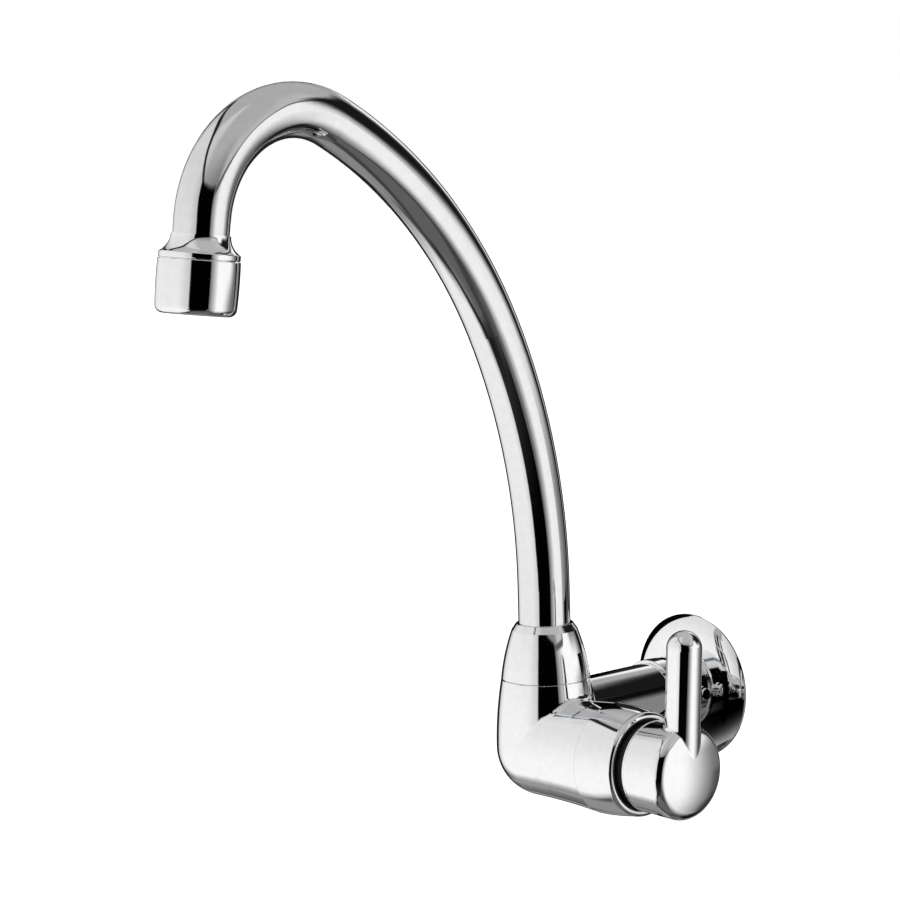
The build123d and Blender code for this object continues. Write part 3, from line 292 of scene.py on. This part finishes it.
def drawn_lines(finish):
    """Relief of the tube: faint lines along its length."""
    return finish.bump(finish.noise(LINE_SCALE, detail=2.0, stretch=LINE_STRETCH), LINE_HEIGHT)


def waves_round_dome(finish):
    """Relief of the handle, with the exact dome round the middle of its face, where facets meet."""
    dome_centre = FACE_MIDDLE - Vector((FACE_DOME_RADIUS, 0.0, 0.0))
    position = finish.node("ShaderNodeTexCoord", out="Object")
    outward = finish.node(
        "ShaderNodeVectorMath", {"operation": "SUBTRACT"}, in_0=position, in_1=dome_centre
    )
    dome = finish.node(
        "ShaderNodeVectorTransform",
        {"vector_type": "NORMAL", "convert_from": "OBJECT", "convert_to": "WORLD"},
        Vector=outward,
    )
    away = finish.node(
        "ShaderNodeVectorMath", {"operation": "DISTANCE"}, out="Value", in_0=position, in_1=FACE_MIDDLE
    )
    return finish.node(
        "ShaderNodeMix",
        {"data_type": "VECTOR"},
        out=1,
        in_0=away.until(*FACE_PATCH_EDGE),
        in_4=buffed_waves(finish),
        in_5=dome,
    )


def plating(name, tones, roughness, relief):
    """Bright chrome with a faint haze in its colour and gloss."""
    finish = new_finish(name)
    haze = finish.noise(HAZE_SCALE, detail=3.0)
    return finish.surface(
        Base_Color=finish.mix(haze.between(*MIDDLE_OF_NOISE), *tones),
        Metallic=1.0,
        Roughness=roughness + haze * HAZE_ROUGHNESS,
        Normal=relief(finish),
    )


def mottled(name, tones, roughness, grain, height, metallic=0.0):
    """A finish with a fine mottle in its colour, gloss and relief."""
    finish = new_finish(name)
    mottle = finish.noise(grain, detail=3.0)
    return finish.surface(
        Base_Color=finish.mix(mottle.between(*MIDDLE_OF_NOISE), *tones),
        Metallic=metallic,
        Roughness=mottle.between(*MOST_OF_NOISE, *roughness),
        Normal=finish.bump(mottle, height),
    )


CHROME = plating("polished_casting", CASTING_TONES, CASTING_ROUGHNESS, buffed_waves)
HANDLE_CHROME = plating("polished_handle", CASTING_TONES, CASTING_ROUGHNESS, waves_round_dome)
DRAWN_CHROME = plating("drawn_tube", TUBE_TONES, TUBE_ROUGHNESS, drawn_lines)
TURNED_BRASS = mottled(
    "turned_brass",
    tones=((0.80, 0.60, 0.27), (0.86, 0.67, 0.34)),
    roughness=(0.18, 0.32),
    grain=900.0,
    height=0.00001,
    metallic=1.0,
)
SOFT_RUBBER = mottled(
    "soft_rubber",
    tones=((0.015, 0.015, 0.016), (0.03, 0.03, 0.031)),
    roughness=(0.55, 0.75),
    grain=1500.0,
    height=0.00003,
)
LAPPED_CERAMIC = mottled(
    "lapped_ceramic",
    tones=((0.83, 0.82, 0.78), (0.9, 0.89, 0.86)),
    roughness=(0.15, 0.25),
    grain=1200.0,
    height=0.000005,
)
BLACK_PLASTIC = mottled(
    "black_plastic",
    tones=((0.003, 0.003, 0.003), (0.006, 0.006, 0.006)),
    roughness=(0.5, 0.65),
    grain=1500.0,
    height=0.00001,
)
PALE_PLASTIC = mottled(
    "pale_plastic",
    tones=((0.78, 0.78, 0.75), (0.85, 0.85, 0.83)),
    roughness=(0.35, 0.5),
    grain=1500.0,
    height=0.00001,
)
BRIGHT_STEEL = mottled(
    "bright_steel",
    tones=((0.55, 0.55, 0.56), (0.66, 0.66, 0.67)),
    roughness=(0.2, 0.35),
    grain=900.0,
    height=0.000005,
    metallic=1.0,
)

FINISH_OF_SLOT = {
    "polished_chrome": CHROME,
    "turned_brass": TURNED_BRASS,
    "black_rubber": SOFT_RUBBER,
    "white_ceramic": LAPPED_CERAMIC,
    "black_plastic": BLACK_PLASTIC,
    "pale_plastic": PALE_PLASTIC,
    "steel": BRIGHT_STEEL,
}
FINISH_OF_NODE = {"spout_tube": DRAWN_CHROME, "handle": HANDLE_CHROME}


def finish_solids():
    """Gives every solid its finish: its own where it has one, or else that of its slot."""
    for entry in frame["record"]["subparts"]:
        node = entry["node"]
        for slot in frame["nodes"][node].material_slots:
            slot.material = FINISH_OF_NODE.get(node, FINISH_OF_SLOT[entry["material_slot"]])


def thread_radius(y, angle):
    """Radius of the right-handed inlet thread, with its lead chamfer."""
    turns = y / THREAD_PITCH - angle / math.tau
    from_crest = 2.0 * abs(turns - round(turns))
    flank = min(max(THREAD_FLANK * (0.5 - from_crest) + 0.5, 0.0), 1.0)
    chamfer = THREAD_CREST - THREAD_LEAD + THREAD_END - y
    return min(THREAD_CREST - THREAD_DEPTH * (1.0 - flank), chamfer)


def nut_radius(y, angle):
    """Radius of the hexagon, with its corners turned off at both faces."""
    to_flat = angle % (math.tau / 6) - math.tau / 12
    turned_off = NUT_HALF_WIDTH + min(-y, y - NUT_END) * math.tan(NUT_CORNER)
    return min(NUT_HALF_WIDTH / math.cos(to_flat), turned_off)


def nipple_rings():
    """Rings of the nipple's skin: each a place along Y with a radius, or a function for it."""
    yield THREAD_END, NIPPLE_BORE
    rows = round((THREAD_END - THREAD_RELIEF) / THREAD_PITCH * ROWS_PER_PITCH)
    for row in range(rows + 1):
        yield THREAD_END + (THREAD_RELIEF - THREAD_END) * row / rows, thread_radius
    yield THREAD_RELIEF, THREAD_CREST - THREAD_DEPTH
    yield 0.0, THREAD_CREST - THREAD_DEPTH
    for row in range(ROWS_PER_PITCH + 1):
        yield NUT_END * row / ROWS_PER_PITCH, nut_radius
    yield NUT_END, SPIGOT_RADIUS
    yield SPIGOT_END, SPIGOT_RADIUS
    yield SPIGOT_END, NIPPLE_BORE


def add_threaded_nipple():
    """The inlet nipple with a cut thread, where its solid has a plain cylinder."""
    skin = bmesh.new()
    rings = []
    for y, radius in nipple_rings():
        ring = []
        for column in range(NIPPLE_COLUMNS):
            angle = math.tau * column / NIPPLE_COLUMNS
            reach = radius(y, angle) if callable(radius) else radius
            ring.append(skin.verts.new((reach * math.sin(angle), y, reach * math.cos(angle))))
        rings.append(ring)
    for ring, following in zip(rings, rings[1:] + rings[:1]):
        for column in range(NIPPLE_COLUMNS):
            beside = (column + 1) % NIPPLE_COLUMNS
            skin.faces.new((ring[column], ring[beside], following[beside], following[column]))
    bmesh.ops.recalc_face_normals(skin, faces=skin.faces)
    mesh = bpy.data.meshes.new("threaded_nipple")
    skin.to_mesh(mesh)
    skin.free()
    mesh.shade_smooth()
    mesh.set_sharp_from_angle(angle=SHARP_ANGLE)
    nipple = add_mesh(mesh, TURNED_BRASS)
    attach(nipple, "body")
    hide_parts("inlet_nipple")


def add_mesh(mesh, material):
    """Puts a mesh in the scene, under its own name."""
    mesh.materials.append(material)
    obj = bpy.data.objects.new(mesh.name, mesh)
    bpy.context.scene.collection.objects.link(obj)
    return obj


def add_camera():
    azimuth, elevation, roll = (
        math.radians(angle) for angle in (CAMERA_AZIMUTH, CAMERA_ELEVATION, CAMERA_ROLL)
    )
    back = Vector(
        (
            math.sin(azimuth) * math.cos(elevation),
            -math.cos(azimuth) * math.cos(elevation),
            math.sin(elevation),
        )
    )
    level = Vector((math.cos(azimuth), math.sin(azimuth), 0.0))
    upright = back.cross(level)
    right = math.cos(roll) * level + math.sin(roll) * upright
    up = -math.sin(roll) * level + math.cos(roll) * upright
    camera = bpy.data.objects.new("camera", bpy.data.cameras.new("camera"))
    camera.data.lens = CAMERA_LENS
    camera.data.sensor_width = SENSOR_WIDTH
    camera.data.clip_start = CAMERA_NEAR
    camera.data.clip_end = CAMERA_FAR
    camera.matrix_world = Matrix.Translation(CAMERA_AIM + back * CAMERA_DISTANCE) @ Matrix(
        (right, up, back)
    ).transposed().to_4x4()
    bpy.context.scene.collection.objects.link(camera)
    bpy.context.scene.camera = camera


def add_floor():
    """Pale floor, which shows as white and keeps the tap's soft shadow."""
    mesh = bpy.data.meshes.new("floor")
    half = FLOOR_SIZE / 2
    corners = [(x * half, y * half, FLOOR_Z) for x, y in ((-1, -1), (1, -1), (1, 1), (-1, 1))]
    mesh.from_pydata(corners, [], [range(len(corners))])
    finish = new_finish("pale_floor")
    matt = finish.node("ShaderNodeBsdfDiffuse", Color=grey(FLOOR_GREY))
    glow = finish.node("ShaderNodeEmission", Color=grey(1.0), Strength=FLOOR_WHITENING)
    both = finish.node("ShaderNodeAddShader", in_0=matt, in_1=glow)
    shader = finish.node("ShaderNodeMixShader", Fac=shown(finish), in_1=matt, in_2=both)
    finish.node("ShaderNodeOutputMaterial", Surface=shader)
    floor = add_mesh(mesh, finish.owner)
    floor.visible_glossy = False


def shown(finish):
    """1 for the rays that show the background, and 0 for those that light the tap."""
    camera = finish.node("ShaderNodeLightPath", out="Is Camera Ray")
    glossy = finish.node("ShaderNodeLightPath", out="Is Glossy Ray")
    clear = finish.node("ShaderNodeLightPath", out="Is Transmission Ray")
    return camera.most(glossy).most(clear)


def lay(under, shade, mask):
    """Lays a shade, a number or a socket, over another where the mask is 1."""
    return under + (shade - under) * mask


def bare_tent(turn, rise, front):
    """Grey ceiling that darkens towards the horizon, and a darker floor with soft dark lines."""
    floor_to_wall, wall_to_ceiling = (-10.0, 8.0, 0.38, 0.42), (10.0, 50.0, 0.0, 0.27)
    left_lift, left_lift_top = (-110.0, -60.0, 0.16, 0.0), (-50.0, -40.0)
    glow_turn, glow_reach, glow_foot = -50.0, (10.0, 40.0, 0.12, 0.0), (-66.0, -50.0)
    tone = rise.between(*floor_to_wall) + rise.between(*wall_to_ceiling)
    tone = tone + turn.between(*left_lift) * rise.until(*left_lift_top)
    tone = tone + abs(turn - glow_turn).between(*glow_reach) * rise.between(*glow_foot)

    line_shade, line_dip, line_edge = 0.27, 43.0, (2.0, 9.0)
    bend_start, bend_length, bend_slope = 30.0, 25.0, 0.6
    line_start, line_end = (-4.0, 6.0), (95.0, 120.0)
    cross_front, cross_edge, cross_top = -0.01, (0.05, 0.15), (-66.0, -58.0)
    bend = (turn - bend_start).most(0.0).least(bend_length) * bend_slope
    line = abs(bend + line_dip + rise).until(*line_edge)
    line = line * turn.between(*line_start) * turn.until(*line_end)
    cross = abs(front - cross_front).until(*cross_edge) * rise.until(*cross_top)
    return lay(tone, line_shade, line.most(cross))


def seam_height(turn):
    """Rise of the seam between floor and panels, which climbs to the opening and to the back."""
    left_slope, left_dip = 0.22, 38.0
    front_slope, front_dip = 0.5, 32.0
    back_start, back_curve, back_dip = -100.0, 0.009, 62.0
    beyond = (back_start - turn).most(0.0)
    height = (turn * left_slope - left_dip).least(turn * front_slope - front_dip)
    return height.most(beyond * beyond * back_curve - back_dip)


def lay_left_panel(tone, turn, rise, over_seam):
    """Arched white panel on the left, in a thin dark rail."""
    middle, top, arch = -90.0, 60.5, 0.0055
    along = turn - middle
    under_top = top - along * along * arch - rise

    rail_shade, rail_edge, rail_back = 0.16, (1.5, 4.0), (-153.0, -149.0)
    post_turn, post_edge, post_top = -151.0, (2.0, 4.0), (-2.0, 0.0)
    rail_end, rail_foot = (-18.0, -12.0), (0.0, 8.0)
    rail = abs(under_top).until(*rail_edge) * turn.between(*rail_back)
    rail = rail.most(abs(turn - post_turn).until(*post_edge) * under_top.between(*post_top))
    tone = lay(tone, rail_shade, rail * turn.until(*rail_end) * over_seam.between(*rail_foot))

    shade_up, back_loss = (-30.0, 50.0, 0.965, 0.86), (-150.0, -120.0, 0.16, 0.0)
    front_loss = (-52.0, -20.0, 0.0, 0.12)
    panel_top, panel_back, panel_end = (1.0, 3.5), (-149.0, -146.5), (-16.0, -10.0)
    foot_spread, panel_foot = (-130.0, -95.0, 0.55, 1.0), (-1.0, 13.0)
    shade = rise.between(*shade_up) - turn.between(*back_loss) - turn.between(*front_loss)
    mask = under_top.between(*panel_top) * turn.between(*panel_back) * turn.until(*panel_end)
    foot = over_seam * turn.between(*foot_spread)
    return lay(tone, shade, mask * foot.between(*panel_foot))


def lay_right_panel(tone, turn, rise):
    """Wide white panel on the right, lower towards the camera, with haze above its dark rim."""
    top_by_turn = (56.0, 78.0, 19.0, 37.0)
    over_top = rise - turn.between(*top_by_turn)

    haze_shade, haze_start, haze_end = 0.74, (28.0, 45.0), (95.0, 115.0)
    haze_foot, haze_top = (0.0, 2.0), (10.0, 34.0)
    haze = turn.between(*haze_start) * turn.until(*haze_end)
    tone = lay(tone, haze_shade, haze * over_top.between(*haze_foot) * over_top.until(*haze_top))

    rim_shade, rim_start, rim_end, rim_edge = 0.35, (28.0, 32.0), (92.0, 98.0), (0.5, 2.5)
    rim = turn.between(*rim_start) * turn.until(*rim_end)
    tone = lay(tone, rim_shade, rim * abs(over_top).until(*rim_edge))

    low_part, high_loss, low_loss = (-6.0, 3.0), (92.0, 130.0, 0.0, 0.68), (70.0, 118.0, 0.0, 0.56)
    near_shade, far_gain = (26.0, 40.0, 0.40, 0.68), (36.0, 55.0, 0.0, 0.30)
    foot_loss = (-60.0, -24.0, 0.45, 0.0)
    low = rise.until(*low_part)
    shade = turn.between(*near_shade) + turn.between(*far_gain) - rise.between(*foot_loss)
    shade = shade - turn.between(*high_loss) * (1.0 - low) - turn.between(*low_loss) * low

    low_shift, foot_shift = (-26.0, -8.0, 8.0, 0.0), (-62.0, -28.0, 34.0, 0.0)
    panel_start, panel_end = (26.0, 29.5), (126.0, 140.0)
    panel_top, panel_foot = (-3.0, -1.0), (-66.0, -54.0)
    start = turn + rise.between(*low_shift) - rise.between(*foot_shift)
    mask = start.between(*panel_start) * turn.until(*panel_end)
    return lay(tone, shade, mask * over_top.until(*panel_top) * rise.between(*panel_foot))


def lay_back_panel(tone, turn, rise):
    """White panel behind on the right, with its lower part beneath a dark stand."""
    shade_by_turn, start, foot = (134.0, 152.0, 0.4, 0.97), (134.0, 142.0), (-14.0, -10.0)
    peak_turn, peak_slope, top = 155.0, 0.3, (32.0, 38.0)
    mask = turn.between(*start) * rise.between(*foot)
    mask = mask * (rise + abs(turn - peak_turn) * peak_slope).until(*top)
    tone = lay(tone, turn.between(*shade_by_turn), mask)

    low_shade, low_loss = (118.0, 156.0, 0.3, 0.75), (-56.0, -24.0, 0.3, 0.0)
    low_start, low_top, low_foot = (104.0, 120.0), (-18.0, -14.0), (-62.0, -40.0)
    mask = turn.between(*low_start) * rise.until(*low_top) * rise.between(*low_foot)
    tone = lay(tone, turn.between(*low_shade) - rise.between(*low_loss), mask)

    stand_shade, stand_dip, stand_slope, stand_turn = 0.14, 40.0, 0.52, 102.0
    stand_edge, stand_start, stand_end = (3.0, 10.0), (92.0, 104.0), (146.0, 160.0)
    stand = abs(rise + stand_dip - stand_slope * (turn - stand_turn)).until(*stand_edge)
    return lay(tone, stand_shade, stand * turn.between(*stand_start) * turn.until(*stand_end))


def lay_black_cards(tone, turn, rise):
    """Black card that leans between the two right panels, and a soft one beside it."""
    card_shade, card_turn, card_rise = 0.05, 128.0, 5.0
    lean_slope, lean_curve, card_edge = 0.5, 0.012, (3.5, 7.0)
    card_foot, card_top = (-20.0, -14.0), (32.0, 38.0)
    lean = rise - card_rise
    card = abs(turn - card_turn + lean * lean_slope + lean * lean * lean_curve).until(*card_edge)
    tone = lay(tone, card_shade, card * rise.between(*card_foot) * rise.until(*card_top))

    soft_shade, soft_start, soft_end = 0.12, (78.0, 97.0), (128.0, 150.0)
    soft_foot, soft_top = (4.0, 24.0), (40.0, 48.0)
    soft = turn.between(*soft_start) * turn.until(*soft_end)
    return lay(tone, soft_shade, soft * rise.between(*soft_foot) * rise.until(*soft_top))


def lay_front_opening(tone, turn, rise, over_seam):
    """Opening in front with the dark room behind it, and the dark seam on both sides of it."""
    left_turn, right_turn, left_edge, right_edge = -21.0, 28.5, (-2.5, 2.5), (-1.5, 1.5)
    left_low_shift, left_high_shift = (-16.0, -8.0, 6.0, 0.0), (12.0, 28.0, 0.0, 3.0)
    right_low_shift = (-26.0, -8.0, 8.0, 0.0)
    top, top_slope, top_edge, foot_edge = 29.0, 0.27, (-2.0, 2.0), (-4.0, 2.0)
    room_shade = (-36.0, -12.0, 0.17, 0.03)
    left = turn - left_turn + rise.between(*left_low_shift) + rise.between(*left_high_shift)
    right = turn - right_turn + rise.between(*right_low_shift)
    gap = left.between(*left_edge) * right.until(*right_edge)
    gap = gap * (rise - top + turn * top_slope).until(*top_edge) * over_seam.between(*foot_edge)
    tone = lay(tone, rise.between(*room_shade), gap)

    left_shade, front_gain = (-110.0, -40.0, 0.30, 0.14), (-10.0, 30.0, 0.0, 0.22)
    back_gain = (-140.0, -105.0, 0.28, 0.0)
    seam_edge, seam_end, seam_back = (0.5, 6.0), (24.0, 44.0), (-160.0, -150.0)
    shade = turn.between(*left_shade) + turn.between(*front_gain) + turn.between(*back_gain)
    seam = abs(over_seam).until(*seam_edge) * turn.until(*seam_end) * turn.between(*seam_back)
    return lay(tone, shade, seam)


def lay_surround(tone, rise, front, up):
    """Dark surround at the back, which draws the outline of all that is round."""
    dip, near, far = (math.radians(angle) for angle in (8.0, 31.0, 36.0))
    shade, weaker_below = 0.15, (-36.0, -24.0, 0.3, 1.0)
    behind = -front * math.cos(dip) - up * math.sin(dip)
    ring = behind.between(math.cos(far), math.cos(near))
    return lay(tone, shade, ring * rise.between(*weaker_below))


def studio_shades(finish):
    """Grey shades of the studio tent, from 0 to 1, as polished chrome mirrors them.

    Turn is the angle in degrees to the right of the camera, seen from the tap, and rise is
    the height above the horizon in degrees. In the pieces of the tent, a pair of numbers is
    a soft edge from one to the other, and four are a fade: where it starts and ends, and
    the values there.
    """
    outward = finish.node(
        "ShaderNodeVectorMath",
        {"operation": "NORMALIZE"},
        in_0=finish.node("ShaderNodeTexCoord", out="Object"),
    )
    turned = finish.node(
        "ShaderNodeVectorRotate",
        {"rotation_type": "Z_AXIS"},
        Vector=outward,
        Angle=-math.radians(CAMERA_AZIMUTH),
    )
    side, away, up = (finish.node("ShaderNodeSeparateXYZ", out=axis, Vector=turned) for axis in "XYZ")
    front = -away
    turn = side.math("ARCTAN2", side, front) * math.degrees(1.0)
    rise = up.math("ARCSINE", up) * math.degrees(1.0)
    over_seam = rise - seam_height(turn)
    tone = bare_tent(turn, rise, front)
    tone = lay_left_panel(tone, turn, rise, over_seam)
    tone = lay_right_panel(tone, turn, rise)
    tone = lay_back_panel(tone, turn, rise)
    tone = lay_black_cards(tone, turn, rise)
    tone = lay_front_opening(tone, turn, rise, over_seam)
    return lay_surround(tone, rise, front, up)


def add_for_polish(mesh, finish, tone):
    """Adds a glowing piece of the studio that nothing but polished metal sees."""
    glow = finish.node("ShaderNodeEmission", Color=tone ** DISPLAY_GAMMA, Strength=TENT_GLOW)
    finish.node("ShaderNodeOutputMaterial", Surface=glow)
    finish.owner.cycles.emission_sampling = "NONE"
    card = add_mesh(mesh, finish.owner)
    for kind in ("camera", "diffuse", "transmission", "volume_scatter", "shadow"):
        setattr(card, "visible_" + kind, False)
    return card


def add_tent():
    """The studio's tent round the tap."""
    ball = bmesh.new()
    bmesh.ops.create_uvsphere(ball, u_segments=TENT_COLUMNS, v_segments=TENT_ROWS, radius=TENT_RADIUS)
    mesh = bpy.data.meshes.new("studio_tent")
    ball.to_mesh(mesh)
    ball.free()
    finish = new_finish("tent_cloth")
    add_for_polish(mesh, finish, studio_shades(finish)).location = TENT_CENTRE


def add_painted_shade_cards():
    """Cards of painted shade that darken what the flange and the wall arm mirror, standing in for the
    tap's own shade there.
    """
    for name, (corners, heights, shades) in PAINTED_SHADE_CARDS.items():
        mesh = bpy.data.meshes.new(name)
        mesh.from_pydata(corners, [], [range(len(corners))])
        finish = new_finish(name)
        height = finish.node("ShaderNodeSeparateXYZ", out="Z", Vector=finish.place())
        add_for_polish(mesh, finish, height.between(*heights, *shades))


def add_surroundings():
    """Even light, with white for what the camera sees and for polished metal beyond the tent."""
    world = bpy.data.worlds.new("studio")
    bpy.context.scene.world = world
    finish = Finish(world)
    even = finish.node("ShaderNodeBackground", Color=grey(1.0), Strength=EVEN_LIGHT)
    white = finish.node("ShaderNodeBackground", Color=grey(1.0), Strength=1.0)
    shader = finish.node("ShaderNodeMixShader", Fac=shown(finish), in_1=even, in_2=white)
    finish.node("ShaderNodeOutputWorld", Surface=shader)


finish_solids()
add_threaded_nipple()
add_camera()
add_floor()
add_tent()
# Painted shade: dark cards that only the flange and the wall arm mirror
add_painted_shade_cards()
add_surroundings()

bpy.context.scene.view_settings.view_transform = "Standard"
